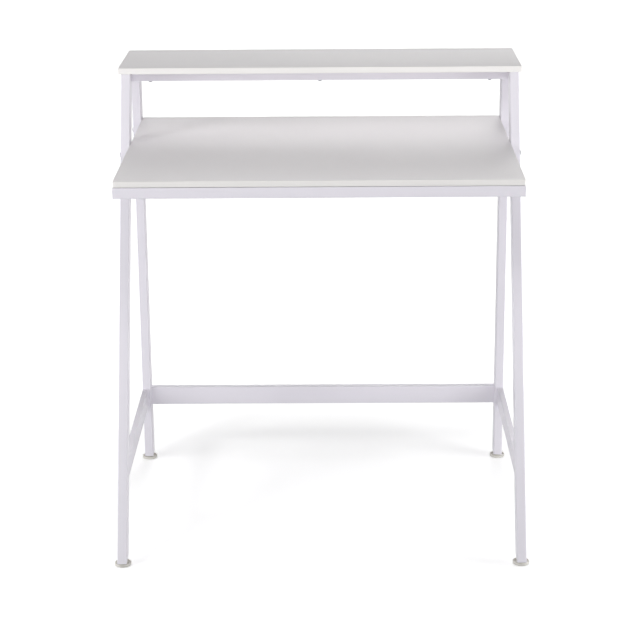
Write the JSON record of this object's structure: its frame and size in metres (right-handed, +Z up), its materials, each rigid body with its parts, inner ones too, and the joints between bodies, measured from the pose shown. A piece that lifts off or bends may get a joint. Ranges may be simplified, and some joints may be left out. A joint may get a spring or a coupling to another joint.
{
  "type": "office desk",
  "caption": "Compact white desk: a board in a tube frame between splayed steel side frames with a raised rear shelf, rear crossbar and screw-adjusted levelling feet.",
  "frame": {"origin": "on the floor, at the centre of the desk's footprint", "axes": "+Z up, +Y towards the back where the shelf is, +X to the right of a person seated at the front"},
  "size_m": [0.79, 0.6, 0.89],
  "materials": {
    "white_steel": "satin white powder coat on steel tube",
    "white_board": "white melamine-faced particle board with a matching edge band",
    "ivory_plastic": "moulded ivory plastic, slightly grained",
    "zinc_steel": "bright zinc plate on turned and headed steel"
  },
  "bodies": {
    "frame": {"left_front_leg": "white_steel", "left_rear_leg": "white_steel", "left_side_brace": "white_steel", "left_top_rail": "white_steel", "right_front_leg": "white_steel", "right_rear_leg": "white_steel", "right_side_brace": "white_steel", "right_top_rail": "white_steel", "desk_front_rail": "white_steel", "desk_rear_rail": "white_steel", "desk_left_rail": "white_steel", "desk_right_rail": "white_steel", "rear_crossbar": "white_steel", "shelf_bar": "white_steel", "desktop": "white_board", "shelf": "white_board", "desk_frame_bolts": "zinc_steel", "desk_frame_nuts": "zinc_steel", "crossbar_bolts": "zinc_steel", "crossbar_end_blocks": "zinc_steel", "shelf_bar_bolts": "zinc_steel", "shelf_bar_end_blocks": "zinc_steel", "shelf_bar_screws": "zinc_steel", "shelf_side_screws": "zinc_steel", "desktop_screws": "zinc_steel", "front_left_foot_plug": "ivory_plastic", "front_right_foot_plug": "ivory_plastic", "rear_left_foot_plug": "ivory_plastic", "rear_right_foot_plug": "ivory_plastic"},
    "front_left_stud": {"front_left_foot_stud": "zinc_steel"},
    "front_left_pad": {"front_left_foot_pad": "ivory_plastic"},
    "front_right_stud": {"front_right_foot_stud": "zinc_steel"},
    "front_right_pad": {"front_right_foot_pad": "ivory_plastic"},
    "rear_left_stud": {"rear_left_foot_stud": "zinc_steel"},
    "rear_left_pad": {"rear_left_foot_pad": "ivory_plastic"},
    "rear_right_stud": {"rear_right_foot_stud": "zinc_steel"},
    "rear_right_pad": {"rear_right_foot_pad": "ivory_plastic"}
  },
  "joints": [
    {"name": "front_left_foot_height", "type": "slide", "parent": "frame", "child": "front_left_stud", "axis": [0, 0, 1], "range_m": [-0.008, 0.0025]},
    {"name": "front_left_foot_turn", "type": "hinge", "parent": "front_left_stud", "child": "front_left_pad", "pos_m": [-0.379, -0.27926, 0], "axis": [0, 0, 1], "range_deg": [-2309, 725]},
    {"name": "front_right_foot_height", "type": "slide", "parent": "frame", "child": "front_right_stud", "axis": [0, 0, 1], "range_m": [-0.008, 0.0025]},
    {"name": "front_right_foot_turn", "type": "hinge", "parent": "front_right_stud", "child": "front_right_pad", "pos_m": [0.379, -0.27926, 0], "axis": [0, 0, 1], "range_deg": [-2309, 725]},
    {"name": "rear_left_foot_height", "type": "slide", "parent": "frame", "child": "rear_left_stud", "axis": [0, 0, 1], "range_m": [-0.008, 0.0025]},
    {"name": "rear_left_foot_turn", "type": "hinge", "parent": "rear_left_stud", "child": "rear_left_pad", "pos_m": [-0.379, 0.281, 0], "axis": [0, 0, 1], "range_deg": [-2309, 725]},
    {"name": "rear_right_foot_height", "type": "slide", "parent": "frame", "child": "rear_right_stud", "axis": [0, 0, 1], "range_m": [-0.008, 0.0025]},
    {"name": "rear_right_foot_turn", "type": "hinge", "parent": "rear_right_stud", "child": "rear_right_pad", "pos_m": [0.379, 0.281, 0], "axis": [0, 0, 1], "range_deg": [-2309, 725]}
  ],
  "couplings": [
    {"joint": "front_left_foot_turn", "follows": "front_left_foot_height", "rad_per_m": 5026.5},
    {"joint": "front_right_foot_turn", "follows": "front_right_foot_height", "rad_per_m": 5026.5},
    {"joint": "rear_left_foot_turn", "follows": "rear_left_foot_height", "rad_per_m": 5026.5},
    {"joint": "rear_right_foot_turn", "follows": "rear_right_foot_height", "rad_per_m": 5026.5}
  ]
}
